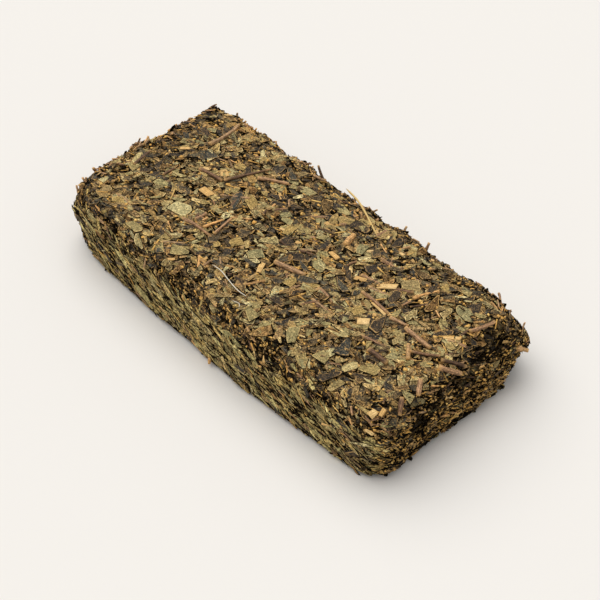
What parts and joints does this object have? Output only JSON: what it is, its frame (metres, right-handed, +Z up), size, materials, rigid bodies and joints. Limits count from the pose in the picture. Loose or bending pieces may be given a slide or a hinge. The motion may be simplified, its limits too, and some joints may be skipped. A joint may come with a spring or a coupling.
{
  "type": "fu brick tea",
  "caption": "Slab of dark tea: leaf scraps, stems and splinters pressed into a thick rectangular brick with rough layered sides and crumbled top edges.",
  "frame": {"origin": "middle of the brick's bounding box in plan, on the flat face it rests on", "axes": "+X along the brick towards its more worn end, +Y across it, +Z up through its thickness"},
  "size_m": [0.202, 0.0988, 0.0334],
  "materials": {
    "pressed_leaf": "matte",
    "olive_leaf": "matte",
    "brown_leaf": "matte",
    "dark_leaf": "satin",
    "stem": "matte",
    "pale_chip": "matte",
    "golden_crumb": "matte",
    "straw": "matte"
  },
  "bodies": {
    "root": {"tea_brick": "pressed_leaf"}
  },
  "joints": []
}
